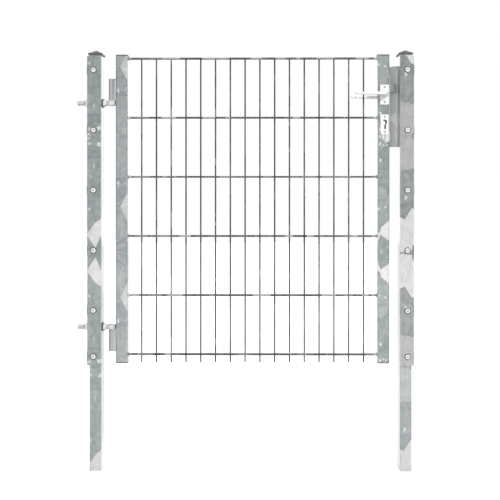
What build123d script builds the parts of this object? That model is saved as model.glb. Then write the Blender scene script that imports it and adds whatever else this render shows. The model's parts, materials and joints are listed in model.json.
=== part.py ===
"""Single wire mesh gate between its two posts, hot-dip galvanised, in millimetres.

X runs along the fence with the hinge post on the left, Y runs away from the viewer and Z up.
The origin is the middle of the hinge post's foot. The leaf is shown closed.
"""
from build123d import *
from math import ceil
import os

# Opening and posts
clear_opening = 1000
post_width = 40
post_depth = 60
post_wall = 2
post_length = 1400

# Caps on the posts
cap_brim = 4
cap_skirt = 5
cap_rise = 10.5
cap_shoulder_rise = 6
cap_shoulder = 22
cap_crown = 8
cap_fit = 0.3

# Clamp bars that hold the fence mats on the front of the posts
bar_width = 46
bar_thickness = 4
bar_length = 1030
bar_top_drop = 12
top_bolt_drop = 47
bottom_bolt_rise = 30
bolt_pitch = 200
bolt_hole = 9
bolt_offset = 2
clip_height = 34
clip_edge = 2

# Double-wire mat of the leaf
cell_width = 50
cell_height = 200
vertical_wire = 5
horizontal_wire = 6
weld_depth = 0.5
mat_height = 1030
mat_drop = 4
side_margin = 30
tip_margin = 20

# Leaf
leaf_top_drop = 7
hinge_gap = 47
lock_gap = 33
stile_size = 40
stile_wall = 2
plug_flange = 3.5
plug_depth = 14
plug_fit = 0.2

# Eyebolt hinges
pin_diameter = 16
pin_clearance = 0.3
eye_wall = 7.7
eye_height = 16
eye_to_stile = 2.5
barrel_length = 74
lug_thickness = 10
hinge_end_gap = 0.4
upper_hinge_drop = 158
lower_hinge_rise = 116
shaft_diameter = 16
shaft_hole = 17
shaft_chamfer = 1.5
eye_chamfer = 1
pin_chamfer = 1
stub_length = 45
nut_flats = 24
nut_thickness = 13.5
thin_nut_thickness = 8.5
nut_chamfer = 1.5
nut_bore_clearance = 0.1
washer_diameter = 30
washer_thickness = 3

# Mortise lock
spindle_drop = 131.5
spindle_to_key = 92
backset = 20
forend_width = 24
forend_length = 225
forend_thickness = 3
case_depth = 35
case_thickness = 16
case_over_latch = 5
case_under_key = 8
case_fit = 0.3
spindle_size = 8
spindle_clearance = 0.4
key_round = 17
key_slot = 10
key_height = 33
latch_height = 26
latch_width = 14
latch_rise = 24
latch_throw = 21
latch_tail = 9
latch_travel = 20
latch_tip = 5
latch_shoulder = 1

# Handles and their plates
plate_length = 67
plate_thickness = 3
plate_corner = 3
plate_chamfer = 0.8
handle_plate_width = 30
key_plate_width = 28
collar_diameter = 18
collar_length = 12
lever_reach = 44
lever_length = 104
lever_depth = 16
lever_height = 12
lever_corner = 4
lever_bend = 15
lever_play = 0.5

# Stop plate on the lock post
stop_height = 275
stop_top_drop = 30
stop_thickness = 5
stop_gap = 5
stop_overlap = 15
stop_side_gap = 5.5

# How far a cut runs past the faces that it goes through
over = 1

# Places worked out from the sizes above
lock_post_x = clear_opening + post_width
leaf_left = post_width / 2 + hinge_gap
leaf_right = post_width / 2 + clear_opening - lock_gap
leaf_top = post_length - leaf_top_drop
leaf_bottom = leaf_top - mat_height
stile_half = stile_size / 2
mat_left = leaf_left + stile_size
mat_right = leaf_right - stile_size
mat_bottom = leaf_bottom - mat_drop
eye_radius = pin_diameter / 2 + pin_clearance + eye_wall
hinge_x = leaf_left - eye_to_stile - eye_radius
upper_hinge_z = leaf_top - upper_hinge_drop
lower_hinge_z = leaf_bottom + lower_hinge_rise
lock_stile_x = leaf_right - stile_half
forend_face = leaf_right + forend_thickness
spindle_x = forend_face - backset
spindle_z = leaf_top - spindle_drop
key_z = spindle_z - spindle_to_key
key_bottom = key_z + key_round / 2 - key_height
latch_z = spindle_z + latch_rise
clip_depth = 2 * horizontal_wire + vertical_wire
bar_back = -post_depth / 2 - clip_depth
bar_bottom = post_length - bar_top_drop - bar_length
bolt_top = bar_bottom + bar_length - top_bolt_drop
bolt_bottom = bar_bottom + bottom_bolt_rise
bolt_steps = ceil((bolt_top - bolt_bottom) / bolt_pitch)
bolt_heights = [bolt_top - step * bolt_pitch for step in range(bolt_steps)] + [bolt_bottom]


def block(x_range, y_range, z_range):
    """A box between two values on each axis."""
    low = Vector(x_range[0], y_range[0], z_range[0])
    high = Vector(x_range[1], y_range[1], z_range[1])
    size = high - low
    return Pos(*(low + size / 2)) * Box(size.X, size.Y, size.Z)


def rod_x(diameter, x_range, y, z):
    """A round rod along X."""
    length = x_range[1] - x_range[0]
    return Pos(sum(x_range) / 2, y, z) * Rot(0, 90, 0) * Cylinder(diameter / 2, length)


def rod_y(diameter, y_range, x, z):
    """A round rod along Y."""
    length = y_range[1] - y_range[0]
    return Pos(x, sum(y_range) / 2, z) * Rot(90, 0, 0) * Cylinder(diameter / 2, length)


def rectangular_tube(width, depth, wall, length):
    """A cold-formed tube, whose outer corner radius is twice its wall."""
    inside = RectangleRounded(width - 2 * wall, depth - 2 * wall, wall)
    return extrude(RectangleRounded(width, depth, 2 * wall) - inside, length)


def post(x, outward):
    """A post with the bolt holes of its clamp bar in the front wall."""
    tube = Pos(x, 0, 0) * rectangular_tube(post_width, post_depth, post_wall, post_length)
    front_wall = (-post_depth / 2 - post_wall, -post_depth / 2 + 2 * post_wall)
    for z in bolt_heights:
        tube -= rod_y(bolt_hole, front_wall, x + outward * bolt_offset, z)
    return tube


def hinge_post():
    """The post that the eyebolts pass through from side to side."""
    tube = post(0, -1)
    for z in (lower_hinge_z, upper_hinge_z):
        tube -= rod_x(shaft_hole, (-post_width, post_width), 0, z)
    return tube


def post_cap(x):
    """A cap with a skirt round the tube and a low hipped roof that steepens to a crown."""
    width = post_width + 2 * cap_brim
    depth = post_depth + 2 * cap_brim
    ridge = post_depth - post_width
    corner = 2 * post_wall + cap_brim / 2
    shoulder = Pos(0, 0, cap_shoulder_rise) * Rectangle(cap_shoulder, cap_shoulder + ridge)
    crown = Pos(0, 0, cap_rise) * Rectangle(cap_crown, cap_crown + ridge)
    roof = loft([Rectangle(width, depth), shoulder, crown], ruled=True)
    roof &= extrude(RectangleRounded(width, depth, corner), cap_rise)
    fit_width = post_width + 2 * cap_fit
    fit_depth = post_depth + 2 * cap_fit
    skirt_section = RectangleRounded(width, depth, corner)
    skirt_section -= RectangleRounded(fit_width, fit_depth, 2 * post_wall + cap_fit)
    skirt = Pos(0, 0, -cap_skirt) * extrude(skirt_section, cap_skirt)
    return Pos(x, 0, post_length) * (roof + skirt)


def clamp_bar(x, outward):
    """The flat bar that clamps the fence mats, with a hole for each bolt."""
    front = bar_back - bar_thickness
    bar = block((x - bar_width / 2, x + bar_width / 2), (front, bar_back),
                (bar_bottom, bar_bottom + bar_length))
    bar = fillet(bar.edges().filter_by(Axis.Y), bar_thickness / 2)
    for z in bolt_heights:
        bar -= rod_y(bolt_hole, (front - over, bar_back + over), x + outward * bolt_offset, z)
    return bar


def clip(x, outward, z):
    """One spacer between the post and its clamp bar, as deep as the fence mat is thick."""
    middle = x + outward * bolt_offset
    body = block((middle - bar_width / 2, middle + bar_width / 2), (bar_back, -post_depth / 2),
                 (z - clip_height / 2, z + clip_height / 2))
    body = chamfer(body.edges().filter_by(Axis.Y), clip_edge)
    return body - rod_y(bolt_hole, (bar_back - over, -post_depth / 2 + over), middle, z)


def clips(x, outward):
    """The spacers of one post."""
    return Compound(children=[clip(x, outward, z) for z in bolt_heights])


def stop_plate():
    """The flat that the closed leaf meets, notched so that it clears the rear door furniture."""
    front = stile_half + stop_gap
    top = leaf_top - stop_top_drop
    plate = block((leaf_right - stop_overlap, lock_post_x - post_width / 2),
                  (front, front + stop_thickness), (top - stop_height, top))
    notch_edge = spindle_x + handle_plate_width / 2 + stop_side_gap
    notch_low = key_bottom - (plate_length - key_height) / 2 - stop_gap
    notch_high = spindle_z + plate_length / 2 + stop_gap
    notch = block((leaf_right - 2 * stop_overlap, notch_edge),
                  (front - over, front + stop_thickness + over), (notch_low, notch_high))
    return plate - notch


def eyebolt(z):
    """A threaded shaft through the post with an eye for the hinge pin."""
    eye = Pos(hinge_x, 0, z) * Cylinder(eye_radius, eye_height)
    eye = chamfer(eye.edges(), eye_chamfer)
    shaft = rod_x(shaft_diameter, (-post_width / 2 - stub_length, hinge_x), 0, z)
    shaft = chamfer(shaft.edges().sort_by(Axis.X)[0], shaft_chamfer)
    bore = Pos(hinge_x, 0, z) * Cylinder(pin_diameter / 2 + pin_clearance, 2 * eye_height)
    return eye + shaft - bore


def hexagon_nut(x, thickness, z):
    """A hexagon nut on the shaft, with its corners turned off at both faces."""
    blank = extrude(RegularPolygon(nut_flats / 2, 6, major_radius=False), thickness)
    turned = Pos(0, 0, thickness / 2) * Cylinder(nut_flats / 3 ** 0.5, thickness)
    turned = chamfer(turned.edges().filter_by(GeomType.CIRCLE), nut_chamfer)
    bored = (blank & turned) - Cylinder(shaft_diameter / 2 + nut_bore_clearance, 3 * thickness)
    return Pos(x, 0, z) * Rot(0, 90, 0) * bored


def hinge_nuts(z):
    """The thick nut on the outer side of the post and the thin one on the inner side."""
    outer = hexagon_nut(-post_width / 2 - washer_thickness - nut_thickness, nut_thickness, z)
    inner = hexagon_nut(post_width / 2 + washer_thickness, thin_nut_thickness, z)
    return Compound(children=[outer, inner])


def hinge_washers(z):
    """A round washer on each side of the post."""
    washers = []
    for x in (-post_width / 2 - washer_thickness, post_width / 2):
        disc = rod_x(washer_diameter, (x, x + washer_thickness), 0, z)
        washers.append(disc - rod_x(shaft_hole, (x - over, x + washer_thickness + over), 0, z))
    return Compound(children=washers)


def barrel_range(eye_z, side):
    """Low and high ends of the barrel, above its eye (side 1) or below it (side -1)."""
    seat = eye_z + side * (eye_height / 2 + hinge_end_gap)
    return sorted((seat, seat + side * barrel_length))


def hinge_pin(eye_z, side):
    """The round pin: its barrel stands clear of the eye and its end fills the eye."""
    low, high = barrel_range(eye_z, side)
    far_end = eye_z - side * eye_height / 2
    low, high = min(low, far_end), max(high, far_end)
    pin = Pos(hinge_x, 0, (low + high) / 2) * Cylinder(pin_diameter / 2, high - low)
    return chamfer(pin.edges().filter_by(GeomType.CIRCLE), pin_chamfer)


def hinge_lug(eye_z, side):
    """The flat between the barrel and the stile, which rests on the eye."""
    low, high = barrel_range(eye_z, side)
    flat = block((hinge_x, leaf_left), (-lug_thickness / 2, lug_thickness / 2), (low, high))
    return flat - Pos(hinge_x, 0, (low + high) / 2) * Cylinder(pin_diameter / 2, 2 * barrel_length)


def stile(x):
    """One upright of the leaf."""
    tube = rectangular_tube(stile_size, stile_size, stile_wall, mat_height)
    return Pos(x, 0, leaf_bottom) * tube


def stile_plug(x, z, side):
    """A plug with a thin flange over the end of a stile, facing up (side 1) or down (side -1)."""
    flange = extrude(RectangleRounded(stile_size, stile_size, 2 * stile_wall), plug_flange)
    inside = stile_size - 2 * (stile_wall + plug_fit)
    spigot = extrude(RectangleRounded(inside, inside, stile_wall), -plug_depth)
    body = flange + spigot
    if side < 0:
        body = Rot(180, 0, 0) * body
    return Pos(x, 0, z) * body


def wire(diameter, length):
    """A wire of six flats along Z, as wide across its flats as the round wire."""
    return extrude(RegularPolygon(diameter / 2, 6, major_radius=False), length)


def mesh_panel():
    """The mat: single upright wires between pairs of cross wires, welded at every crossing."""
    inner_width = mat_right - mat_left
    columns = int((inner_width - 2 * side_margin) // cell_width)
    first = (mat_left + mat_right - columns * cell_width) / 2
    top_wire = mat_bottom + mat_height - horizontal_wire / 2
    rows = int((top_wire - mat_bottom - tip_margin) // cell_height)
    offset = (vertical_wire + horizontal_wire) / 2 - weld_depth
    wires = [Pos(first + column * cell_width, 0, mat_bottom) * wire(vertical_wire, mat_height)
             for column in range(columns + 1)]
    for row in range(rows + 1):
        for y in (-offset, offset):
            place = Pos(mat_left, y, top_wire - row * cell_height) * Rot(0, 90, 0)
            wires.append(place * wire(horizontal_wire, inner_width))
    return wires[0].fuse(*wires[1:])


def key_hole(y_range):
    """The standard hole for a profile cylinder: a round with a slot below it."""
    straight = key_height - key_round / 2 - key_slot / 2
    outline = Circle(key_round / 2) + Pos(0, -straight / 2) * Rectangle(key_slot, straight)
    outline += Pos(0, -straight) * Circle(key_slot / 2)
    half = (y_range[1] - y_range[0]) / 2
    return Pos(spindle_x, sum(y_range) / 2, key_z) * extrude(Plane.XZ * outline, half, both=True)


def lock_case_range():
    """Low and high ends of the lock case."""
    return key_bottom - case_under_key, latch_z + latch_height / 2 + case_over_latch


def lock_stile():
    """The upright that holds the lock, cut out for its case, spindle and cylinder."""
    low, high = lock_case_range()
    half = case_thickness / 2 + case_fit
    tube = stile(lock_stile_x)
    tube -= block((leaf_right - 2 * stile_wall, leaf_right + over), (-half, half),
                  (low - case_fit, high + case_fit))
    tube -= rod_y(collar_diameter, (-stile_size, stile_size), spindle_x, spindle_z)
    return tube - key_hole((-stile_size, stile_size))


def lock_case():
    """The mortise lock: its case inside the stile and its forend over the slot."""
    low, high = lock_case_range()
    case = block((leaf_right - case_depth, leaf_right), (-case_thickness / 2, case_thickness / 2),
                 (low, high))
    middle = (low + high) / 2
    forend = block((leaf_right, forend_face), (-forend_width / 2, forend_width / 2),
                   (middle - forend_length / 2, middle + forend_length / 2))
    half_width = latch_width / 2 + case_fit
    half_height = latch_height / 2 + case_fit
    channel_end = leaf_right - latch_tail - latch_travel - case_fit
    channel = block((channel_end, forend_face + over), (-half_width, half_width),
                    (latch_z - half_height, latch_z + half_height))
    hub_diameter = spindle_size * 2 ** 0.5 + 2 * spindle_clearance
    hub = rod_y(hub_diameter, (-stile_size, stile_size), spindle_x, spindle_z)
    return case + forend - channel - hub - key_hole((-stile_size, stile_size))


def latch_bolt():
    """The sprung latch, bevelled on the side that meets the stop first."""
    half = latch_width / 2
    tip = forend_face + latch_throw
    outline = Polyline((leaf_right - latch_tail, -half), (tip, -half), (tip, latch_tip - half),
                       (forend_face + latch_shoulder, half), (leaf_right - latch_tail, half), close=True)
    bolt = extrude(make_face(outline), latch_height)
    return Pos(0, 0, latch_z - latch_height / 2) * bolt


def plate_blank(width, z, side):
    """A plate on the front (side -1) or rear (side 1) face of the lock stile."""
    blank = extrude(RectangleRounded(width, plate_length, plate_corner), plate_thickness)
    blank = chamfer(blank.faces().sort_by(Axis.Z)[-1].edges(), plate_chamfer)
    return Pos(spindle_x, side * stile_half, z) * Rot(-90 * side, 0, 0) * blank


def handle_plate(side):
    """The plate that the lever's collar turns in."""
    blank = plate_blank(handle_plate_width, spindle_z, side)
    hole = collar_diameter + 2 * pin_clearance
    return blank - rod_y(hole, (-2 * stile_size, 2 * stile_size), spindle_x, spindle_z)


def key_plate(side):
    """The plate round the cylinder hole."""
    middle = key_bottom + key_height / 2
    return plate_blank(key_plate_width, middle, side) - key_hole((-2 * stile_size, 2 * stile_size))


def spindle_bar():
    """The square bar that joins the two levers."""
    end = stile_half + plate_thickness + lever_reach / 2
    half = spindle_size / 2
    return block((spindle_x - half, spindle_x + half), (-end, end),
                 (spindle_z - half, spindle_z + half))


def lever(side):
    """A flat oval bar bent from the collar to run back along the gate."""
    face = stile_half + plate_thickness
    start = face + lever_play
    far = face + lever_reach
    path = FilletPolyline((0, side * start, 0), (0, side * far, 0), (-lever_length, side * far, 0),
                          radius=lever_bend)
    section = Plane((0, side * start, 0), x_dir=(1, 0, 0), z_dir=(0, side, 0))
    bar = sweep(section * RectangleRounded(lever_depth, lever_height, lever_corner), path)
    tip = bar.faces().sort_by(Axis.X)[0]
    bar = fillet(tip.edges(), lever_corner / 2)
    collar_range = sorted((side * (stile_half + lever_play), side * (face + collar_length)))
    collar = rod_y(collar_diameter, collar_range, 0, 0)
    return Pos(spindle_x, 0, spindle_z) * (bar + collar) - spindle_bar()


pieces = {
    "hinge_post": hinge_post(),
    "lock_post": post(lock_post_x, 1),
    "hinge_post_cap": post_cap(0),
    "lock_post_cap": post_cap(lock_post_x),
    "hinge_post_bar": clamp_bar(0, -1),
    "lock_post_bar": clamp_bar(lock_post_x, 1),
    "hinge_post_clips": clips(0, -1),
    "lock_post_clips": clips(lock_post_x, 1),
    "stop_plate": stop_plate(),
    "hinge_stile": stile(leaf_left + stile_half),
    "lock_stile": lock_stile(),
    "mesh_panel": mesh_panel(),
    "lock_case": lock_case(),
    "latch_bolt": latch_bolt(),
    "spindle": spindle_bar(),
}
for name, z, side in (("upper", upper_hinge_z, 1), ("lower", lower_hinge_z, -1)):
    pieces[f"{name}_eyebolt"] = eyebolt(z)
    pieces[f"{name}_hinge_nuts"] = hinge_nuts(z)
    pieces[f"{name}_hinge_washers"] = hinge_washers(z)
    pieces[f"{name}_hinge_pin"] = hinge_pin(z, side)
    pieces[f"{name}_hinge_lug"] = hinge_lug(z, side)
for name, x in (("hinge_stile", leaf_left + stile_half), ("lock_stile", lock_stile_x)):
    pieces[f"{name}_top_plug"] = stile_plug(x, leaf_top, 1)
    pieces[f"{name}_bottom_plug"] = stile_plug(x, leaf_bottom, -1)
for name, side in (("front", -1), ("rear", 1)):
    pieces[f"{name}_handle_plate"] = handle_plate(side)
    pieces[f"{name}_key_plate"] = key_plate(side)
    pieces[f"{name}_lever"] = lever(side)

os.makedirs("parts", exist_ok=True)
for name, shape in pieces.items():
    export_step(shape, f"parts/{name}.step")
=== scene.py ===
"""Finish of the wire mesh gate: zinc crystals, round wires, welds, bolts, screws and threads.

Everything is in metres in the gate's own frame: X along the fence, Y away from the viewer, Z up.
"""

import json
import math
import random

import bpy
from mathutils import Matrix, Vector


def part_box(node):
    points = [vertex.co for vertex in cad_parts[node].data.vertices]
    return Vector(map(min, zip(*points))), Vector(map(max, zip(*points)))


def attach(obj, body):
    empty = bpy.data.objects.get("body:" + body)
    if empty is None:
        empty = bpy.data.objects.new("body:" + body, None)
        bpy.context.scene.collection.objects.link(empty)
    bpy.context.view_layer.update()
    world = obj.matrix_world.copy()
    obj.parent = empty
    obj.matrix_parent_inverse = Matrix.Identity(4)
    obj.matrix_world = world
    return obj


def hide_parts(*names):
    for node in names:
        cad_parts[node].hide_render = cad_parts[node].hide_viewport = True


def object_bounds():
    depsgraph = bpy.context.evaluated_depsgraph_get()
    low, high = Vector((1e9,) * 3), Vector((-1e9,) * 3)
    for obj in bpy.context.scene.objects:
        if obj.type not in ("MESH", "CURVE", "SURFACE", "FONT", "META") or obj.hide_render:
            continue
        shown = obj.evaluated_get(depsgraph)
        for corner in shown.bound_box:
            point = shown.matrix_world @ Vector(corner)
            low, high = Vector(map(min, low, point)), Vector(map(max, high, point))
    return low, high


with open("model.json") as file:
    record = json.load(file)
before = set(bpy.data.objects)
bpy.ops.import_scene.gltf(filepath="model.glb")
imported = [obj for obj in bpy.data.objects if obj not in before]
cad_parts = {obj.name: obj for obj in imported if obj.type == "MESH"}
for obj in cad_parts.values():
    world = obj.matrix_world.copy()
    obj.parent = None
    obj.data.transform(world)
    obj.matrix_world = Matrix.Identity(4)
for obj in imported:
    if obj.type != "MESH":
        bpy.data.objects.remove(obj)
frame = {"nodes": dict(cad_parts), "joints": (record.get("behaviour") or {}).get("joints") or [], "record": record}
cad_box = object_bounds()
joint_place = {joint["name"]: Vector(joint["pos_m"]) for joint in frame["joints"] if "pos_m" in joint}

# Camera, as the photograph sees the gate
camera_place = Vector((0.5399, -2.8738, 0.9461))
camera_turn_degrees = 0.426
photo_width_pixels = 500
focal_pixels = 849.7
horizon_drop_pixels = -61.35
sensor_width_mm = 36.0

# Lamps, aimed at the gate's middle
lamp_distance = 8.0
key_direction = Vector((0.33, -0.85, 0.42))
key_size = 0.5
key_power = 390
fill_direction = Vector((-0.2, -0.97, 0.1))
fill_size = 3.0
fill_power = 160

# Brightness of the room, as it lights the gate and is mirrored in its metal
room_near_viewer = 0.2
room_beyond_gate = 0.75
room_ahead = 1.9
room_aside = 0.9
room_behind = 1.1
room_above = 0.9

# Floor
floor_half = 12.0
floor_tone = 0.35
floor_white = 0.9
floor_glow = 0.6
floor_roughness = 0.8

# Zinc
fold_height = 0.733
fold_repeat = 0.3875
zinc_relief = 0.0004
zinc_coat_roughness = 0.12
zinc_dust = 0.2

# Grain of the other finishes, drawn out where it is brushed
grain_relief = 0.0002
along_x = (0.06, 1, 1)
along_z = (1, 1, 0.08)

# Mat of round wires
upright_wire = 0.005
cross_wire = 0.006
cell_width = 0.05
cell_height = 0.2
wire_sides = 12
wire_chamfer = 0.0006
weld_depth = 0.0005
crossing_weld_half_sizes = (0.0031, 0.0013, 0.0034)
flare_foot = 0.0062
flare_length = 0.011
flare_sink = 0.0006
flare_lumps = 6

# Weld beads
bead_ripple = 0.0035
bead_wave = 0.13
bead_tip = 0.08
stile_bead_radius = 0.0044
pin_bead_radius = 0.0017
pin_bead_shift = 0.0004
lug_bead_margin = 0.002
stop_front_bead_radius = 0.003
stop_front_bead_sink = 0.0003
stop_rear_bead_radius = 0.0021
stop_rear_bead_sink = (0.0008, 0.0012)
stop_bead_margin = 0.004

# Bolts of the clamp bars
clip_height = 0.034
bolt_pitch = 0.2
bolt_offset = 0.002
bolt_head_radius = 0.0079
bolt_head_height = 0.005
bolt_socket = 0.003
socket_depth = 0.003
seal_radius = 0.0107
seal_thickness = 0.0014
seal_rounding = 0.0006

# Eyebolts
thread_pitch = 0.002
thread_depth = 0.0011
thread_chamfer = 0.0016
shaft_radius = 0.008
pin_radius = 0.008
eye_bore = 0.0083
eye_round = 0.0028
bore_edge = 0.0008
shank_past_post = 0.010
neck_chamfer = 0.003
neck_gap = 0.0015
thread_overlap = 0.0005

# Screws and small fittings of the lock
screw_radius = 0.0036
screw_spread = 0.0255
screw_crown = 0.0007
forend_screw_radius = 0.0038
forend_screw_inset = 0.012
forend_screw_turn = 0.4
cylinder_drop = 0.092
dead_bolt_rise = 0.034
dead_bolt_half_width = 0.006
dead_bolt_half_height = 0.011
dead_bolt_stand = 0.0009
dead_bolt_edge = 0.0006
dead_bolt_sink = 0.0005

# Levers
lever_half_depth = 0.008
lever_half_height = 0.006
lever_bend = 0.015
lever_gap = 0.0005
lever_squareness = 2.7
lever_neck = 0.86
lever_taper = 0.12
lever_thinning = 0.45
lever_rounding = 0.006
lever_tip = 0.4
lever_closing = 0.97
collar_radius = 0.009
collar_bore = 0.0054
collar_length = 0.012
collar_edge = 0.0008
groove_place = 0.0035
groove_slope = 0.0005
groove_width = 0.001
groove_depth = 0.0007


def box_middle(name):
    """The middle of a CAD node's box."""
    low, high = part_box(name)
    return (low + high) / 2


class Shape:
    """Vertices and faces of one piece, gathered from simpler forms."""

    def __init__(self):
        self.points = []
        self.faces = []

    def add(self, points, faces, place=Matrix.Identity(4)):
        """Puts a form into the piece."""
        first = len(self.points)
        self.points += [place @ Vector(point) for point in points]
        self.faces += [[first + corner for corner in face] for face in faces]

    def make(self, name, material, body, replaces=(), sharp_degrees=35):
        """Makes the object, rides it on its body and names its finish."""
        mesh = bpy.data.meshes.new(name)
        mesh.from_pydata(self.points, [], self.faces)
        mesh.validate()
        mesh.shade_smooth()
        mesh.set_sharp_from_angle(angle=math.radians(sharp_degrees))
        mesh.materials.append(material)
        piece = bpy.data.objects.new(name, mesh)
        bpy.context.scene.collection.objects.link(piece)
        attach(piece, body)
        if replaces:
            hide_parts(*replaces)


def ring_faces(count, sides, closed=False):
    """Faces between rings of points, with two flat ends unless the last ring joins the first."""
    faces = []
    for ring in range(count if closed else count - 1):
        after = (ring + 1) % count
        for side in range(sides):
            following = (side + 1) % sides
            faces.append((ring * sides + side, ring * sides + following,
                          after * sides + following, after * sides + side))
    if not closed:
        faces += [tuple(reversed(range(sides))), tuple(range((count - 1) * sides, count * sides))]
    return faces


def turned_form(outline, sides, reach_at=lambda ring, angle, radius: radius, closed=False):
    """Points and faces of a form turned round Z from an outline of (radius, height)."""
    points = []
    for ring, (radius, height) in enumerate(outline):
        for side in range(sides):
            angle = math.tau * side / sides
            reach = reach_at(ring, angle, radius)
            points.append((reach * math.cos(angle), reach * math.sin(angle), height))
    return points, ring_faces(len(outline), sides, closed)


def aim(place, direction):
    """A matrix that lays a turned form's Z axis along a direction."""
    turn = Vector(direction).to_track_quat("Z", "Y").to_matrix().to_4x4()
    return Matrix.Translation(place) @ turn


def hexagon_reach(half_flats, angle):
    """The radius of a hexagon at an angle, from half its width across flats."""
    return half_flats / math.cos(angle % (math.pi / 3) - math.pi / 6)


def arc(radius, height, start, end, steps, rounding):
    """Points (radius, height) on an arc round a centre, between two angles in degrees."""
    angles = [math.radians(start + (end - start) * step / steps) for step in range(steps + 1)]
    return [(radius + rounding * math.cos(angle), height + rounding * math.sin(angle)) for angle in angles]


# Shader nodes
def node(tree, kind, inputs=None, **settings):
    """A shader node with its settings and inputs, where an input is a value or another socket."""
    made = tree.nodes.new("ShaderNode" + kind)
    for name, value in settings.items():
        setattr(made, name, value)
    for name, value in (inputs or {}).items():
        if isinstance(value, bpy.types.NodeSocket):
            tree.links.new(value, made.inputs[name])
        else:
            made.inputs[name].default_value = value
    return made


def math_node(tree, operation, *values, clamp=False):
    """The result of a sum on values or sockets."""
    return node(tree, "Math", dict(enumerate(values)), operation=operation, use_clamp=clamp).outputs[0]


def vector_node(tree, operation, vector, other):
    """The result of a sum on a vector and another one, or a number where the vector is scaled."""
    second = "Scale" if operation == "SCALE" else 1
    return node(tree, "VectorMath", {0: vector, second: other}, operation=operation).outputs[0]


def ramp(tree, value, start=0.0, end=1.0, low=0.0, high=1.0):
    """A value that goes from low to high while another goes from start to end, and is level beyond."""
    return node(tree, "MapRange", {0: value, 1: start, 2: end, 3: low, 4: high}).outputs[0]


def mix_values(tree, share, first, second):
    """A value between two others."""
    return node(tree, "Mix", {0: share, 2: first, 3: second}).outputs[0]


def mix_colors(tree, share, first, second):
    """A colour between two others."""
    return node(tree, "Mix", {0: share, 6: first, 7: second}, data_type="RGBA").outputs[2]


def noise(tree, place, scale, detail, roughness=0.5):
    """A cloudy pattern between 0 and 1."""
    return node(tree, "TexNoise", {"Vector": place, "Scale": scale, "Detail": detail,
                                   "Roughness": roughness}).outputs[0]


def chances(tree, cells):
    """Three random values for each cell of a pattern."""
    return node(tree, "SeparateColor", {0: cells["Color"]}).outputs


# Shader groups
def new_group(name, inputs, outputs):
    """An empty shader group with named sockets, its given values and its output node."""
    tree = bpy.data.node_groups.new(name, "ShaderNodeTree")
    for label, kind, value in inputs:
        socket = tree.interface.new_socket(name=label, in_out="INPUT", socket_type="NodeSocket" + kind)
        socket.default_value = value
    for label, kind in outputs:
        tree.interface.new_socket(name=label, in_out="OUTPUT", socket_type="NodeSocket" + kind)
    return tree, tree.nodes.new("NodeGroupInput").outputs, tree.nodes.new("NodeGroupOutput")


def close_group(tree, result, outputs):
    """Links a group's results to its outputs."""
    for label, socket in outputs.items():
        tree.links.new(socket, result.inputs[label])
    return tree


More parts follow.
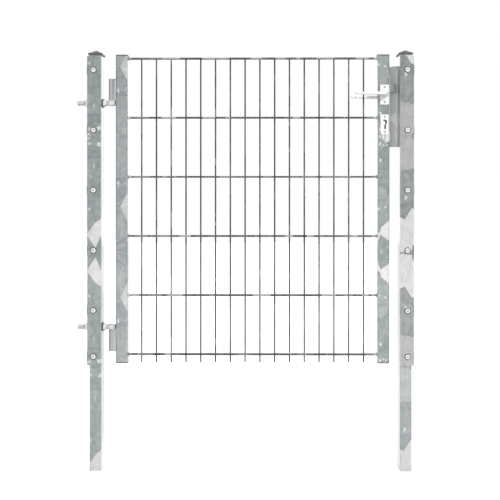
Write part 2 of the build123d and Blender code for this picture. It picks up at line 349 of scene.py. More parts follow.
def zinc_crystals_group():
    """Zinc crystals with straight borders, mirrored over a height and again at every repeat from it. The pattern
    is the zinc's own; the paleness of the pale crystals is a painted sheen, standing in for crystals turned to
    mirror the light.

    Pale Share is the share of pale crystals up to Reach from the fold, and Far Share the one beyond it.
    Far Splash is the share of small white splashes that come on top close to the far fold.
    """
    crystal_stretch = (1.0, 1.0, 0.72)
    feather_stretch = (1.0, 1.0, 0.2)
    facet_scale = 2.7
    splash_scale = 8.0
    splash_ripple = 0.3
    splash_share = 0.012
    splash_band = (0.036, 0.028)
    reach_blur = 0.15
    pale_edge = 0.01
    darkest_grey = 0.08
    lightest_grey = 0.3
    half_pale_share = 0.2
    half_pale_tone = 0.2
    pale_tone = 0.86
    border_width = 0.04
    border_depth = 0.1
    facet_relief = 0.25
    feather_relief = 0.5
    smoothest = 0.42
    roughest = 0.55
    tree, given, result = new_group(
        "zinc_crystals",
        [("Cell", "Float", 0.05), ("Shift", "Vector", (0, 0, 0)), ("Fold Height", "Float", 0.0),
         ("Repeat", "Float", 0.4), ("Reach", "Float", 0.15), ("Pale Share", "Float", 0.2),
         ("Far Share", "Float", 0.05), ("Far Splash", "Float", 0.0), ("Dark", "Color", (0.2, 0.2, 0.2, 1)),
         ("Pale", "Color", (0.8, 0.8, 0.8, 1))],
        [("Color", "Color"), ("Pale Mask", "Float"), ("Roughness", "Float"), ("Height", "Float")])

    # Place in crystals, folded over the mirror heights
    place = node(tree, "TexCoord").outputs["Object"]
    parts = node(tree, "SeparateXYZ", {0: place}).outputs
    above = math_node(tree, "SUBTRACT", parts["Z"], given["Fold Height"])
    folded = math_node(tree, "PINGPONG", above, given["Repeat"])
    mirrored = node(tree, "CombineXYZ", {"X": parts["X"], "Y": parts["Y"], "Z": folded}).outputs[0]
    moved = vector_node(tree, "ADD", mirrored, given["Shift"])
    grid = vector_node(tree, "SCALE", moved, math_node(tree, "DIVIDE", 1.0, given["Cell"]))
    grid = vector_node(tree, "MULTIPLY", grid, crystal_stretch)

    # Crystals, the facets in them and the splashes on them
    crystal = node(tree, "TexVoronoi", {"Vector": grid, "Scale": 1.0}).outputs
    border = node(tree, "TexVoronoi", {"Vector": grid, "Scale": 1.0}, feature="DISTANCE_TO_EDGE").outputs
    facet = node(tree, "TexVoronoi", {"Vector": grid, "Scale": facet_scale}).outputs
    ripple = node(tree, "TexNoise", {"Vector": grid, "Scale": 12.0, "Detail": 3.0}).outputs["Color"]
    ragged = vector_node(tree, "ADD", grid, vector_node(tree, "SCALE", ripple, splash_ripple))
    splash = node(tree, "TexVoronoi", {"Vector": ragged, "Scale": splash_scale}).outputs
    chance = chances(tree, crystal)
    facet_chance = chances(tree, facet)
    splash_chance = chances(tree, splash)["Red"]

    # Feathers that lie another way in each crystal, mottling and speckles
    angle = math_node(tree, "MULTIPLY", chance["Blue"], math.tau)
    turned = node(tree, "VectorRotate", {"Vector": grid, "Angle": angle}, rotation_type="Y_AXIS").outputs[0]
    drawn = vector_node(tree, "MULTIPLY", turned, feather_stretch)
    feather = noise(tree, drawn, scale=8.0, detail=5.0, roughness=0.6)
    mottle = noise(tree, place, scale=55.0, detail=5.0, roughness=0.65)
    speckle = noise(tree, place, scale=700.0, detail=2.0)

    # Pale crystals and splashes; their paleness is a painted sheen, standing in for crystals turned to mirror the
    # light
    away = math_node(tree, "DIVIDE", folded, given["Reach"])
    share = ramp(tree, away, 1 - reach_blur, 1 + reach_blur, given["Pale Share"], given["Far Share"])
    threshold = math_node(tree, "SUBTRACT", 1.0, share)
    pale = ramp(tree, chance["Red"], threshold, math_node(tree, "ADD", threshold, pale_edge))
    to_far_fold = math_node(tree, "SUBTRACT", given["Repeat"], folded)
    more = ramp(tree, to_far_fold, *splash_band, high=given["Far Splash"])
    rare = math_node(tree, "SUBTRACT", 1 - splash_share, more)
    pale = math_node(tree, "MAXIMUM", pale, math_node(tree, "GREATER_THAN", splash_chance, rare))

    # Tone from dark to pale
    grey = ramp(tree, chance["Green"], low=darkest_grey, high=lightest_grey)
    half_pale = math_node(tree, "GREATER_THAN", chance["Green"], 1 - half_pale_share)
    grey = math_node(tree, "ADD", grey, math_node(tree, "MULTIPLY", half_pale, half_pale_tone))
    tone = mix_values(tree, pale, grey, pale_tone)
    for wave, amount in ((facet_chance["Red"], 0.08), (feather, 0.45), (mottle, 0.5), (speckle, 0.14)):
        centred = math_node(tree, "SUBTRACT", wave, 0.5)
        tone = math_node(tree, "ADD", tone, math_node(tree, "MULTIPLY", centred, amount))
    line = ramp(tree, border["Distance"], end=border_width, low=border_depth, high=0.0)
    tone = math_node(tree, "SUBTRACT", tone, line, clamp=True)

    relief = math_node(tree, "MULTIPLY", facet_chance["Blue"], facet_relief)
    relief = math_node(tree, "MULTIPLY_ADD", feather, feather_relief, relief)
    return close_group(tree, result, {
        "Color": mix_colors(tree, tone, given["Dark"], given["Pale"]),
        "Pale Mask": pale,
        "Roughness": ramp(tree, facet_chance["Green"], low=smoothest, high=roughest),
        "Height": math_node(tree, "SUBTRACT", relief, line)})


def fine_grain_group():
    """Fine marks, even or drawn out along one axis, for plated, brushed and moulded surfaces."""
    roughness_share = 0.25
    tree, given, result = new_group(
        "fine_grain",
        [("Scale", "Float", 300.0), ("Stretch", "Vector", (1, 1, 1)), ("Shade", "Float", 0.1),
         ("Color", "Color", (0.5, 0.5, 0.5, 1)), ("Roughness", "Float", 0.4)],
        [("Color", "Color"), ("Roughness", "Float"), ("Height", "Float")])
    place = node(tree, "TexCoord").outputs["Object"]
    drawn = vector_node(tree, "MULTIPLY", place, given["Stretch"])
    grain = noise(tree, drawn, scale=given["Scale"], detail=3.0)
    cloud = noise(tree, place, scale=60.0, detail=4.0)
    both = math_node(tree, "SUBTRACT", math_node(tree, "ADD", grain, cloud), 1.0)
    value = math_node(tree, "ADD", 1.0, math_node(tree, "MULTIPLY", both, given["Shade"]))
    color = node(tree, "HueSaturation", {"Color": given["Color"], "Value": value}).outputs[0]
    change = math_node(tree, "MULTIPLY", both, roughness_share)
    rough = math_node(tree, "ADD", given["Roughness"], change, clamp=True)
    return close_group(tree, result, {"Color": color, "Roughness": rough, "Height": grain})


def weathering_and_top_light_group():
    """Dull dust in blotches over a finish, thickest on upward faces; laid on thickly, as on the caps, it is also
    painted light that pales their tops.
    """
    blotches = (0.5, 0.72)
    upward_faces = (0.3, 0.9)
    dust_on_sides = 0.25
    tree, given, result = new_group(
        "weathering_and_top_light",
        [("Color", "Color", (0.5, 0.5, 0.5, 1)), ("Dust", "Color", (0.6, 0.6, 0.58, 1)),
         ("Amount", "Float", 0.3)],
        [("Color", "Color")])
    coordinates = node(tree, "TexCoord").outputs
    upward = node(tree, "SeparateXYZ", {0: coordinates["Normal"]}).outputs["Z"]
    clouds = noise(tree, coordinates["Object"], scale=25.0, detail=6.0, roughness=0.7)
    spots = ramp(tree, clouds, *blotches)
    lying = ramp(tree, upward, *upward_faces, low=dust_on_sides)
    dusty = math_node(tree, "MULTIPLY", spots, lying)
    mask = math_node(tree, "MULTIPLY", dusty, given["Amount"], clamp=True)
    return close_group(tree, result, {"Color": mix_colors(tree, mask, given["Color"], given["Dust"])})


zinc_crystals = zinc_crystals_group()
fine_grain = fine_grain_group()
weathering_and_top_light = weathering_and_top_light_group()


# Materials
def new_material(name):
    """A material with its tree and its surface shader."""
    made = bpy.data.materials.new(name)
    made.use_nodes = True
    return made, made.node_tree, made.node_tree.nodes["Principled BSDF"]


def use_group(tree, group, inputs):
    """The outputs of a shader group placed in a material."""
    return node(tree, "Group", inputs, node_tree=group).outputs


def wire_up(tree, shader, sockets, height, relief, strength):
    """Feeds the shader's sockets and its bump."""
    for name, socket in sockets.items():
        tree.links.new(socket, shader.inputs[name])
    bump = node(tree, "Bump", {"Height": height, "Distance": relief, "Strength": strength})
    tree.links.new(bump.outputs[0], shader.inputs["Normal"])


def zinc(name, shift=(0, 0, 0), cell=0.05, share=0.35, far_share=0.02, splash=0.0, reach=0.16,
         dark=(0.155, 0.187, 0.194), pale=(0.56, 0.56, 0.55), metallic=0.45, coat=1.0, specular=0.5,
         bump=0.35):
    """Hot-dip galvanised steel, whose smooth outer layer mirrors the room at a low angle."""
    made, tree, shader = new_material(name)
    crystals = use_group(tree, zinc_crystals, {
        "Cell": cell, "Shift": shift, "Fold Height": fold_height, "Repeat": fold_repeat, "Reach": reach,
        "Pale Share": share, "Far Share": far_share, "Far Splash": splash,
        "Dark": (*dark, 1), "Pale": (*pale, 1)})
    soiled = use_group(tree, weathering_and_top_light, {"Color": crystals["Color"], "Amount": zinc_dust})
    metal = ramp(tree, crystals["Pale Mask"], low=metallic, high=metallic / 3)
    shader.inputs["Specular IOR Level"].default_value = specular
    shader.inputs["Coat Weight"].default_value = coat
    shader.inputs["Coat Roughness"].default_value = zinc_coat_roughness
    feeds = {"Base Color": soiled["Color"], "Roughness": crystals["Roughness"], "Metallic": metal}
    wire_up(tree, shader, feeds, crystals["Height"], zinc_relief, bump)
    return made


def grained(name, color, roughness, metallic, scale=300.0, stretch=(1, 1, 1), shade=0.1, bump=0.15,
            dust=0.2):
    """A plain finish with fine marks."""
    made, tree, shader = new_material(name)
    shader.inputs["Metallic"].default_value = metallic
    grain = use_group(tree, fine_grain, {"Scale": scale, "Stretch": stretch, "Shade": shade,
                                         "Color": (*color, 1), "Roughness": roughness})
    soiled = use_group(tree, weathering_and_top_light, {"Color": grain["Color"], "Amount": dust})
    feeds = {"Base Color": soiled["Color"], "Roughness": grain["Roughness"]}
    wire_up(tree, shader, feeds, grain["Height"], grain_relief, bump)
    return made


def forend_and_case(edge):
    """Bright steel on the forend, past the stile's edge, and dark dull steel on the case inside it."""
    case_color = (0.06, 0.06, 0.06, 1)
    case_roughness = 0.6
    case_metallic = 0.2
    forend_color = (0.6, 0.6, 0.6, 1)
    forend_roughness = 0.34
    forend_metallic = 0.8
    made, tree, shader = new_material("forend_and_case")
    along = node(tree, "SeparateXYZ", {0: node(tree, "TexCoord").outputs["Object"]}).outputs["X"]
    outside = math_node(tree, "GREATER_THAN", along, edge)
    grain = use_group(tree, fine_grain, {
        "Scale": 600.0, "Stretch": along_z, "Shade": 0.2,
        "Color": mix_colors(tree, outside, case_color, forend_color),
        "Roughness": ramp(tree, outside, low=case_roughness, high=forend_roughness)})
    soiled = use_group(tree, weathering_and_top_light, {"Color": grain["Color"], "Amount": 0.1})
    feeds = {"Base Color": soiled["Color"], "Roughness": grain["Roughness"],
             "Metallic": ramp(tree, outside, low=case_metallic, high=forend_metallic)}
    wire_up(tree, shader, feeds, grain["Height"], grain_relief, 0.15)
    return made


# Zinc of each piece, shifted so that the bar and its post show one run of crystals
bar_step = Vector((0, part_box("hinge_post_bar")[0].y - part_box("hinge_post")[0].y, 0))
hinge_shift = Vector((0.607, 0.893, 0.893))
lock_shift = Vector((0.349, 0.937, 0.704))
post_dark = (0.193, 0.227, 0.232)
stile_dark = (0.175, 0.206, 0.212)
stile_pale = (0.68, 0.685, 0.675)
# Near white for the crystals of the stop plate and of the bright welds: painted light
painted_light_pale = (0.98, 0.98, 0.98)
fold_splash = 0.13
hinge_bar_zinc = zinc("zinc_hinge_bar", hinge_shift, cell=0.065, share=0.4, splash=fold_splash)
hinge_post_zinc = zinc("zinc_hinge_post", hinge_shift + bar_step, cell=0.065, share=0.4,
                       splash=fold_splash, dark=post_dark)
lock_bar_zinc = zinc("zinc_lock_bar", lock_shift, cell=0.065, share=0.3, dark=(0.14, 0.157, 0.157))
lock_post_zinc = zinc("zinc_lock_post", lock_shift + bar_step, cell=0.065, share=0.3, dark=post_dark)
hinge_stile_zinc = zinc("zinc_hinge_stile", (0.938, 0.211, 0.071), cell=0.07, share=0.4,
                        dark=stile_dark, pale=stile_pale)
lock_stile_zinc = zinc("zinc_lock_stile", (0.128, 0.488, 0.21), cell=0.045, share=0.15, splash=fold_splash,
                       dark=stile_dark, pale=stile_pale)
# Painted light: the stop plate's zinc is near white and dull, so that it reads as bright as the other zinc
# although the bar, the post and the stile keep most of the lamps' light off it
stop_zinc_painted_light = zinc("zinc_stop_plate_painted_light", (0.07, 0.21, 0.33), share=0.4, far_share=0.25,
                 dark=(0.66, 0.68, 0.68), pale=painted_light_pale, metallic=0.0, coat=0.2)
lug_zinc = zinc("zinc_lugs", cell=0.03, share=0.3, far_share=0.3,
                dark=(0.3, 0.305, 0.3), pale=(0.48, 0.48, 0.475))
# Lit and shaded copies of one wire zinc: the uprights are painted darker and the cross wires lighter, standing in
# for the different light that falls on them
upright_zinc_painted_shade = zinc("zinc_upright_wires_painted_shade", cell=0.035, share=0.03, far_share=0.03,
                    dark=(0.014, 0.02, 0.021), pale=(0.24, 0.25, 0.25),
                    metallic=0.0, coat=0.0, specular=0.12, bump=0.2)
cross_zinc_painted_light = zinc("zinc_cross_wires_painted_light", cell=0.035, share=0.3, far_share=0.05,
                  dark=(0.03, 0.038, 0.039), pale=(0.4, 0.41, 0.41),
                  metallic=0.0, coat=0.0, specular=0.12, bump=0.2)
# Painted highlight: near-white zinc for the beads at the hinge stile and at the stop plate, standing in for the
# light they catch
weld_zinc_painted_highlight = zinc("zinc_welds_painted_highlight", cell=0.012, share=0.5, far_share=0.5,
                        dark=(0.9, 0.91, 0.91), pale=painted_light_pale, metallic=0.0, coat=0.2)
weld_zinc = zinc("zinc_welds", cell=0.012, share=0.3, far_share=0.3, coat=0.2, bump=0.6)

# Steel, aluminium, plastic and rubber
plated_steel = grained("plated_steel", (0.6, 0.6, 0.59), roughness=0.45, metallic=0.0, scale=500.0,
                       shade=0.25)
nut_steel = grained("nut_steel", (0.9, 0.9, 0.88), roughness=0.35, metallic=0.2, scale=500.0, shade=0.2)
# Painted shade: the washers between the hinge nuts and the post are dark, standing in for the shade beside the
# post
washer_steel_painted_shade = grained("washer_steel_painted_shade", (0.16, 0.16, 0.155), roughness=0.45, metallic=0.5, scale=500.0,
                       shade=0.25)
bolt_steel = grained("bolt_steel", (0.8, 0.8, 0.79), roughness=0.3, metallic=0.35, scale=500.0)
pin_steel = grained("pin_steel", (0.42, 0.415, 0.41), roughness=0.55, metallic=0.2, scale=350.0,
                    stretch=(1, 1, 0.1), shade=0.15)
lock_steel = grained("lock_steel", (0.33, 0.33, 0.33), roughness=0.35, metallic=0.7, scale=600.0,
                     stretch=along_z, shade=0.2)
latch_steel = grained("latch_steel", (0.3, 0.31, 0.31), roughness=0.4, metallic=0.6, scale=500.0, shade=0.2)
aluminium = grained("satin_aluminium", (0.76, 0.765, 0.77), roughness=0.4, metallic=0.2, scale=700.0,
                    stretch=along_x, shade=0.12, bump=0.08, dust=0.05)
# Partly painted light: the caps' heavy dust, thickest on upward faces, is real dust and also pales the roofs
# against the darker skirts, as light from above would
cap_plastic = grained("cap_plastic", (0.075, 0.075, 0.075), roughness=0.42, metallic=0.0, scale=900.0,
                      shade=0.3, bump=0.3, dust=0.9)
clip_plastic = grained("clip_plastic", (0.22, 0.22, 0.22), roughness=0.5, metallic=0.0, scale=900.0,
                       shade=0.3, bump=0.3)
plug_plastic = grained("plug_plastic", (0.06, 0.062, 0.064), roughness=0.6, metallic=0.0, scale=900.0,
                       shade=0.3, bump=0.3, dust=0.1)
# Dark rubber of the seals, also used for the painted shade in the bolt sockets
seal_rubber_and_socket_shade = grained("seal_rubber_and_socket_shade", (0.11, 0.115, 0.12), roughness=0.6, metallic=0.0, scale=900.0,
                      shade=0.2, dust=0.1)
case_finish = forend_and_case(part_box("lock_stile")[1].x)

finish_of_slot = {
    "galvanised": lug_zinc,
    "galvanised_wire": upright_zinc_painted_shade,
    "zinc_plated": plated_steel,
    "pin_steel": pin_steel,
    "lock_steel": lock_steel,
    "furniture": aluminium,
    "cap_plastic": cap_plastic,
    "plug_plastic": plug_plastic,
}
finish_of_node = {
    "hinge_post": hinge_post_zinc,
    "lock_post": lock_post_zinc,
    "hinge_post_bar": hinge_bar_zinc,
    "lock_post_bar": lock_bar_zinc,
    "stop_plate": stop_zinc_painted_light,
    "hinge_stile": hinge_stile_zinc,
    "lock_stile": lock_stile_zinc,
    "hinge_post_clips": clip_plastic,
    "lock_post_clips": clip_plastic,
    "lock_case": case_finish,
    "upper_hinge_nuts": nut_steel,
    "lower_hinge_nuts": nut_steel,
    "upper_hinge_washers": washer_steel_painted_shade,
    "lower_hinge_washers": washer_steel_painted_shade,
    "latch_bolt": latch_steel,
}
for subpart in frame["record"]["subparts"]:
    name = subpart["node"]
    finish = finish_of_node.get(name, finish_of_slot[subpart["material_slot"]])
    for held in frame["nodes"][name].material_slots:
        held.material = finish


# Mat of round wires, whose first and last columns of cells are cut narrower by the stiles
mat_low, mat_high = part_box("mesh_panel")
columns = round((mat_high.x - mat_low.x) / cell_width) - 2
first_column = (mat_low.x + mat_high.x - columns * cell_width) / 2
top_row = mat_high.z - cross_wire / math.sqrt(3)
row_count = int((top_row - mat_low.z) / cell_height) + 1
column_places = [first_column + column * cell_width for column in range(columns + 1)]
row_places = [top_row - row * cell_height for row in range(row_count)]
cross_offset = (upright_wire + cross_wire) / 2 - weld_depth


def rod(shape, start, end, radius):
    """A round wire with slightly broken ends between two points."""
    axis = Vector(end) - Vector(start)
    tip = radius - wire_chamfer
    outline = [(tip, 0), (radius, wire_chamfer), (radius, axis.length - wire_chamfer), (tip, axis.length)]
    shape.add(*turned_form(outline, wire_sides), aim(start, axis))


def nugget(shape, place, half_sizes, rows=5, sides=8):
    """A small rounded lump, cut off flat just short of its poles."""
    pole_share = 0.96
    angles = [math.pi * (row / rows - 0.5) * pole_share for row in range(rows + 1)]
    outline = [(math.cos(angle), math.sin(angle)) for angle in angles]
    shape.add(*turned_form(outline, sides), Matrix.Translation(place) @ Matrix.Diagonal((*half_sizes, 1)))


def build_mat():
    """Single upright wires between pairs of cross wires, with the weld squeezed out at each crossing."""
    uprights = Shape()
    for x in column_places:
        rod(uprights, (x, 0, mat_low.z), (x, 0, mat_high.z), upright_wire / 2)
    crosses = Shape()
    for z in row_places:
        for y in (-cross_offset, cross_offset):
            rod(crosses, (mat_low.x, y, z), (mat_high.x, y, z), cross_wire / 2)
    weld_offset = (upright_wire - weld_depth) / 2
    for x in column_places:
        for z in row_places:
            for y in (-weld_offset, weld_offset):
                nugget(crosses, (x, y, z), crossing_weld_half_sizes)
    uprights.make("mat_upright_wires", upright_zinc_painted_shade, "leaf", replaces=["mesh_panel"])
    crosses.make("mat_cross_wires", cross_zinc_painted_light, "leaf", replaces=["mesh_panel"])


def weld_flare(shape, place, direction, chance):
    """A weld that widens from a cross wire to the stile it meets, and gets less even on the way."""
    wire = cross_wire / 2
    bumps = [chance.uniform(0.85, 1.15) for _ in range(flare_lumps)]

    def uneven(ring, angle, radius):
        lump = bumps[int(angle / math.tau * flare_lumps) % flare_lumps]
        return radius * (1 + (lump - 1) * ring / 4)

    outline = [(wire * 0.98, flare_length), (wire * 1.12, flare_length * 0.62),
               (wire * 1.5, flare_length * 0.3), (flare_foot * 0.85, flare_length * 0.1),
               (flare_foot, 0), (flare_foot * 0.9, -flare_sink)]
    shape.add(*turned_form(outline, 14, uneven), aim(place, direction))


def build_mat_welds():
    """The welds that join each cross wire to the stiles."""
    chance = random.Random(7)
    welds = Shape()
    for z in row_places:
        for y in (-cross_offset, cross_offset):
            for x, direction in ((mat_low.x, 1), (mat_high.x, -1)):
                weld_flare(welds, (x, y, z), (direction, 0, 0), chance)
    welds.make("mat_welds", weld_zinc, "leaf")


# Weld beads
def bead(shape, x, y, low, high, radius):
    """An upright weld bead with round ends and the ripples that a torch leaves."""
    steps_per_ripple = 4
    end_steepness = 4
    length = high - low
    steps = round(length / bead_ripple) * steps_per_ripple
    outline = []
    for step in range(steps + 1):
        share = step / steps
        rounding = min(1.0, max(bead_tip, end_steepness * math.sqrt(share * (1 - share))))
        wave = 1 + bead_wave * abs(math.sin(math.pi * share * length / bead_ripple))
        outline.append((radius * rounding * wave, share * length))
    shape.add(*turned_form(outline, 10), aim((x, y, low), (0, 0, 1)))


def build_hinge_welds():
    """The beads on both sides of each lug, to the stile and to the pin's barrel."""
    stile_welds = Shape()
    pin_welds = Shape()
    for level in ("upper", "lower"):
        low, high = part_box(f"{level}_hinge_lug")
        barrel = box_middle(f"{level}_hinge_pin").x + math.sqrt(pin_radius ** 2 - low.y ** 2)
        for y in (low.y, high.y):
            for welds, x, radius in ((stile_welds, high.x, stile_bead_radius),
                                     (pin_welds, barrel + pin_bead_shift, pin_bead_radius)):
                bead(welds, x - radius / 4, y, low.z + lug_bead_margin, high.z - lug_bead_margin, radius)
    # The stile beads carry the painted highlight of near-white zinc
    stile_welds.make("hinge_stile_welds", weld_zinc_painted_highlight, "leaf")
    pin_welds.make("hinge_pin_welds", lug_zinc, "leaf")


def build_stop_welds():
    """The beads between the stop plate and the lock post, before and behind the plate."""
    welds = Shape()
    low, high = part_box("stop_plate")
    rear_x, rear_y = stop_rear_bead_sink
    for x, y, radius in ((high.x - stop_front_bead_sink, low.y, stop_front_bead_radius),
                         (high.x + rear_x, high.y - rear_y, stop_rear_bead_radius)):
        bead(welds, x, y, low.z + stop_bead_margin, high.z - stop_bead_margin, radius)
    # Both beads carry the painted highlight of near-white zinc
    welds.make("stop_plate_welds", weld_zinc_painted_highlight, "posts")


# Bolts of the clamp bars
def bolt_heights(clips):
    """Heights of the bolts of one clamp bar, from its spacers."""
    low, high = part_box(clips)
    top = high.z - clip_height / 2
    bottom = low.z + clip_height / 2
    steps = math.ceil((top - bottom) / bolt_pitch)
    return [top - step * bolt_pitch for step in range(steps)] + [bottom]


def dome_head(shape, place, direction, turn):
    """A domed bolt head with a hexagon socket."""
    foot = 0.24
    fullness = 0.8
    step_in = 0.995
    base = bolt_head_radius
    height = bolt_head_height
    outline = [(base * 0.97, 0), (base, height * 0.08), (base, height * foot)]
    for step in range(1, 6):
        angle = math.radians(15 * step)
        radius = base * math.cos(angle) ** fullness * step_in
        outline.append((radius, height * (foot + (1 - foot) * math.sin(angle))))
    socket_ring = len(outline)
    outline += [(bolt_socket * 1.15, height), (bolt_socket, height * 0.94),
                (bolt_socket, height - socket_depth)]

    def reach_at(ring, angle, radius):
        return hexagon_reach(radius, angle) if ring >= socket_ring else radius

    shape.add(*turned_form(outline, 36, reach_at), aim(place, direction) @ Matrix.Rotation(turn, 4, "Z"))


def build_bar_bolts(post, outward):
    """The bolts of one clamp bar, each on a dark seal, with a dark disc on the floor of its socket as painted
    shade.
    """
    chance = random.Random(outward)
    heads = Shape()
    seals_and_socket_shade = Shape()
    forward = (0, -1, 0)
    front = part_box(f"{post}_bar")[0].y
    x = box_middle(f"{post}_bar").x + outward * bolt_offset
    inner = bolt_head_radius * 0.6
    lip = arc(seal_radius - seal_rounding, seal_thickness - seal_rounding, 0, 90, 3, seal_rounding)
    seal = [(inner, 0), (seal_radius, 0)] + lip + [(inner, seal_thickness)]
    socket_floor = seal_thickness + bolt_head_height - socket_depth
    socket_shade_radius = bolt_socket * 0.98
    socket_shade_disc = [(socket_shade_radius, 0), (socket_shade_radius, 0.0002)]
    for z in bolt_heights(f"{post}_clips"):
        seals_and_socket_shade.add(*turned_form(seal, 36, closed=True), aim((x, front, z), forward))
        dome_head(heads, (x, front - seal_thickness, z), forward, chance.uniform(0, math.pi))
        # A dark disc on the floor of each socket: painted shade
        seals_and_socket_shade.add(*turned_form(socket_shade_disc, 24), aim((x, front - socket_floor, z), forward))
    heads.make(f"{post}_bar_bolts", bolt_steel, "posts")
    seals_and_socket_shade.make(f"{post}_bar_seals_and_socket_shade", seal_rubber_and_socket_shade, "posts")


# Screws and fittings of the lock
def screw_head(shape, place, direction, radius, turn):
    """A flat screw head with a cross recess."""
    waist = 0.42
    recess_ring = 4
    outline = [(radius, -0.0004), (radius, 0.0001), (radius * 0.93, 0.0005), (radius * 0.7, screw_crown),
               (radius * 0.6, screw_crown), (radius * 0.52, 0.0001), (radius * 0.4, -0.0003)]

    def cross(ring, angle, reach):
        if ring < recess_ring:
            return reach
        to_arm = abs(angle % (math.pi / 2) - math.pi / 4) / (math.pi / 4)
        return reach * (waist + (1 - waist) * to_arm ** 3)

    shape.add(*turned_form(outline, 32, cross), aim(place, direction) @ Matrix.Rotation(turn, 4, "Z"))


def build_plate_screws():
    """Two screws in each plate on both faces of the lock stile."""
    chance = random.Random(3)
    screws = Shape()
    for face, direction in (("front", -1), ("rear", 1)):
        for plate in ("handle_plate", "key_plate"):
            low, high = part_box(f"{face}_{plate}")
            middle = (low + high) / 2
            y = low.y if direction < 0 else high.y
            for z in (middle.z - screw_spread, middle.z + screw_spread):
                screw_head(screws, (middle.x, y, z), (0, direction, 0), screw_radius, chance.uniform(0, 1.5))
    screws.make("plate_screws", lock_steel, "leaf")


def build_forend_fittings():
    """The forend's two screws and the end of the dead bolt, which lies back in the lock."""
    low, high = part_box("lock_case")
    face = high.x
    fittings = Shape()
    for z in (low.z + forend_screw_inset, high.z - forend_screw_inset):
        screw_head(fittings, (face, 0, z), (1, 0, 0), forend_screw_radius, forend_screw_turn)
    bolt_z = joint_place["lever_press"].z - cylinder_drop + dead_bolt_rise
    corners = [(y * dead_bolt_half_width, z * dead_bolt_half_height)
               for y, z in ((-1, -1), (1, -1), (1, 1), (-1, 1))]
    levels = [(1.0, -dead_bolt_sink), (1.0, dead_bolt_stand - dead_bolt_edge),
              (1 - dead_bolt_edge / dead_bolt_half_width, dead_bolt_stand)]
    points = [(face + rise, y * size, bolt_z + z * size) for size, rise in levels for y, z in corners]
    fittings.add(points, ring_faces(len(levels), len(corners)))
    fittings.make("forend_fittings", lock_steel, "leaf")


# Levers
def swept(shape, stations, sides, squareness):
    """A smooth bar through stations of (place, sideways, half depth, half height), closed at both ends."""
    points = []
    for place, sideways, half_depth, half_height in stations:
        for side in range(sides):
            angle = math.tau * side / sides
            across, up = math.cos(angle), math.sin(angle)
            across = math.copysign(abs(across) ** (2 / squareness), across)
            up = math.copysign(abs(up) ** (2 / squareness), up)
            points.append(place + sideways * across * half_depth + Vector((0, 0, up * half_height)))
    shape.add(points, ring_faces(len(stations), sides))


def lever_stations(spindle, side, start, far, tip_x):
    """A lever's neck out from its plate, its bend, and its grip that thins towards a rounded tip."""
    stations = []
    bend_start = far - lever_bend
    for step in range(4):
        share = step / 3
        place = Vector((spindle.x, side * (start + share * (bend_start - start)), spindle.z))
        half_depth = lever_half_depth * (lever_neck + (1 - lever_neck) * share)
        stations.append((place, Vector((1, 0, 0)), half_depth, lever_half_height))
    centre = Vector((spindle.x - lever_bend, side * bend_start, spindle.z))
    for step in range(1, 9):
        angle = math.radians(90 * step / 8)
        outward = Vector((math.cos(angle), side * math.sin(angle), 0))
        stations.append((centre + outward * lever_bend, outward, lever_half_depth, lever_half_height))
    straight = spindle.x - tip_x - lever_bend
    outward = Vector((0, side, 0))
    lengths = [straight * share for share in (0.2, 0.4, 0.6, 0.8)]
    lengths += [straight - lever_rounding * (1 - math.sin(math.radians(15 * step))) for step in range(7)]
    for length in lengths:
        along = length / straight
        close = max(0.0, (length - straight + lever_rounding) / lever_rounding)
        full = lever_tip + (1 - lever_tip) * math.sqrt(1 - (lever_closing * close) ** 2)
        place = Vector((centre.x - length, side * far, spindle.z))
        stations.append((place, outward, lever_half_depth * full * (1 - lever_taper * along),
                         lever_half_height * full * (1 - lever_thinning * along)))
    return stations


def build_lever(face, side):
    """A rounded lever with a neck through its collar, bent to run back along the gate."""
    low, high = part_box(f"{face}_lever")
    spindle = joint_place["lever_press"]
    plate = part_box(f"{face}_handle_plate")
    start = abs(plate[1 if side > 0 else 0].y) + lever_gap
    far = max(abs(low.y), abs(high.y)) - lever_half_depth
    lever = Shape()
    swept(lever, lever_stations(spindle, side, start, far, low.x), 40, lever_squareness)
    length = collar_length - lever_gap
    groove_floor = collar_radius - groove_depth
    groove_end = groove_place + 2 * groove_slope + groove_width
    outline = [(collar_bore, 0), (collar_radius, 0), (collar_radius, groove_place),
               (groove_floor, groove_place + groove_slope), (groove_floor, groove_end - groove_slope),
               (collar_radius, groove_end), (collar_radius, length - collar_edge),
               (collar_radius - collar_edge, length), (collar_bore, length)]
    lever.add(*turned_form(outline, 48), aim((spindle.x, side * start, spindle.z), (0, side, 0)))
    lever.make(f"{face}_lever_rounded", aluminium, "handles", replaces=[f"{face}_lever"],
               sharp_degrees=30)


# Eyebolts
def threaded_stub(shape, start, end, height):
    """A threaded rod along X with a broken end at its start."""
    sides = 36
    rows_per_turn = 6
    flank_slope = 2.88
    root_flat = 0.2
    length = end - start
    rows = round(length / thread_pitch * rows_per_turn)
    points = []
    for row in range(rows + 1):
        x = start + length * row / rows
        limit = shaft_radius - thread_chamfer + (x - start)
        for side in range(sides):
            angle = math.tau * side / sides
            phase = (x / thread_pitch - side / sides) % 1.0
            crest = min(1.0, max(0.0, flank_slope * abs(phase - 0.5) - root_flat))
            radius = min(shaft_radius - thread_depth * (1 - crest), limit)
            points.append((x, radius * math.cos(angle), height + radius * math.sin(angle)))
    shape.add(points, ring_faces(rows + 1, sides))


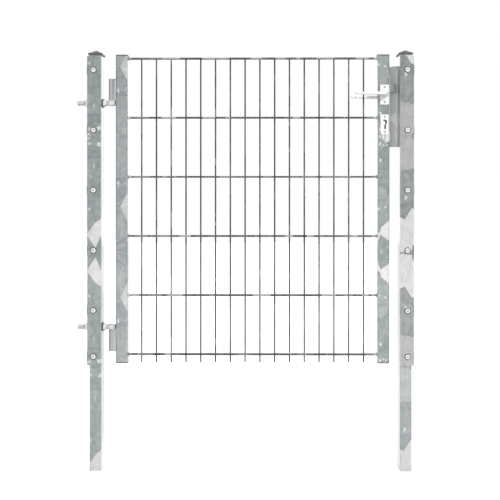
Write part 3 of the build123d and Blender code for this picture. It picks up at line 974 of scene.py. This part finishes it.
def build_eyebolt(level):
    """A forged eye on a threaded shaft."""
    low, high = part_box(f"{level}_eyebolt")
    middle = (low + high) / 2
    outer = (high.y - low.y) / 2
    half = (high.z - low.z) / 2
    eye_x = high.x - outer
    post_low, post_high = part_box("hinge_post")
    bolt = Shape()
    threaded_stub(bolt, low.x, post_low.x, middle.z)
    outline = [(eye_bore + bore_edge, -half)]
    outline += arc(outer - eye_round, eye_round - half, -90, 0, 5, eye_round)
    outline += arc(outer - eye_round, half - eye_round, 0, 90, 5, eye_round)
    outline += [(eye_bore + bore_edge, half), (eye_bore, half - bore_edge), (eye_bore, bore_edge - half)]
    bolt.add(*turned_form(outline, 48, closed=True), Matrix.Translation((eye_x, 0, middle.z)))
    neck_length = eye_x - eye_bore - neck_gap - post_low.x
    shank_length = post_high.x + shank_past_post - post_low.x
    shank = shaft_radius * 0.98
    neck = [(shank, 0), (shank, shank_length), (shaft_radius * 0.96, neck_length - neck_chamfer),
            (shaft_radius * 0.7, neck_length)]
    bolt.add(*turned_form(neck, 32), aim((post_low.x - thread_overlap, 0, middle.z), (1, 0, 0)))
    bolt.make(f"{level}_eyebolt_forged", plated_steel, "posts", replaces=[f"{level}_eyebolt"])


build_mat()
build_mat_welds()
build_hinge_welds()
build_stop_welds()
for post, outward in (("hinge_post", -1), ("lock_post", 1)):
    build_bar_bolts(post, outward)
build_plate_screws()
build_forend_fittings()
for face, side in (("front", -1), ("rear", 1)):
    build_lever(face, side)
for level in ("upper", "lower"):
    build_eyebolt(level)


# Studio
gate_middle = (cad_box[0] + cad_box[1]) / 2


def build_floor():
    """A floor that is plain white to the viewer and in the metal, and greyer as a source of light."""
    mesh = bpy.data.meshes.new("floor")
    corners = [(gate_middle.x + side_x * floor_half, side_y * floor_half, 0)
               for side_x, side_y in ((-1, -1), (1, -1), (1, 1), (-1, 1))]
    mesh.from_pydata(corners, [], [(0, 1, 2, 3)])
    made, tree, shader = new_material("studio_floor")
    rays = node(tree, "LightPath").outputs
    seen = math_node(tree, "MAXIMUM", rays["Is Camera Ray"], rays["Is Glossy Ray"])
    shown = mix_colors(tree, seen, (floor_tone, floor_tone, floor_tone, 1),
                       (floor_white, floor_white, floor_white, 1))
    tree.links.new(shown, shader.inputs["Base Color"])
    tree.links.new(seen, shader.inputs["Emission Strength"])
    shader.inputs["Emission Color"].default_value = (floor_glow, floor_glow, floor_glow, 1)
    shader.inputs["Roughness"].default_value = floor_roughness
    mesh.materials.append(made)
    floor = bpy.data.objects.new("floor", mesh)
    bpy.context.scene.collection.objects.link(floor)


def build_world():
    """A white room, dimmer on the viewer's side, that the camera itself sees as plain white."""
    world = bpy.data.worlds.new("studio")
    world.use_nodes = True
    bpy.context.scene.world = world
    tree = world.node_tree
    tree.nodes.clear()
    direction = node(tree, "SeparateXYZ", {0: node(tree, "TexCoord").outputs["Generated"]}).outputs
    aside = math_node(tree, "ABSOLUTE", direction["X"])
    light = ramp(tree, direction["Y"], -0.7, 0.6, room_near_viewer, room_beyond_gate)
    # Each further part of the room sets in at one value of the direction and is full at another
    for part, start, end, brightness in ((direction["Y"], 0.75, 0.97, room_ahead),
                                         (aside, 0.6, 0.9, room_aside),
                                         (direction["Y"], -0.9, -0.97, room_behind),
                                         (direction["Z"], 0.2, 1.0, room_above)):
        light = mix_values(tree, ramp(tree, part, start, end), light, brightness)
    room = node(tree, "Background", {"Color": (1, 1, 1, 1), "Strength": light})
    plain = node(tree, "Background", {"Color": (1, 1, 1, 1), "Strength": 1.0})
    seen = node(tree, "LightPath").outputs["Is Camera Ray"]
    mixed = node(tree, "MixShader", {0: seen, 1: room.outputs[0], 2: plain.outputs[0]})
    node(tree, "OutputWorld", {"Surface": mixed.outputs[0]})


def build_lamp(name, direction, size, power):
    """One area lamp that shines on the gate's middle and isn't mirrored in its metal."""
    data = bpy.data.lights.new(name, "AREA")
    data.size = size
    data.energy = power
    lamp = bpy.data.objects.new(name, data)
    lamp.location = gate_middle + direction.normalized() * lamp_distance
    lamp.rotation_euler = direction.to_track_quat("Z", "Y").to_euler()
    lamp.visible_glossy = False
    bpy.context.scene.collection.objects.link(lamp)


def build_camera():
    """The photograph's viewpoint and framing."""
    data = bpy.data.cameras.new("camera")
    data.sensor_width = sensor_width_mm
    data.lens = focal_pixels / photo_width_pixels * sensor_width_mm
    data.shift_y = horizon_drop_pixels / photo_width_pixels
    camera = bpy.data.objects.new("camera", data)
    camera.location = camera_place
    camera.rotation_euler = (math.radians(90), 0, math.radians(camera_turn_degrees))
    bpy.context.scene.collection.objects.link(camera)
    bpy.context.scene.camera = camera


build_floor()
build_world()
build_lamp("key", key_direction, key_size, key_power)
build_lamp("fill", fill_direction, fill_size, fill_power)
build_camera()
bpy.context.scene.view_settings.view_transform = "Standard"
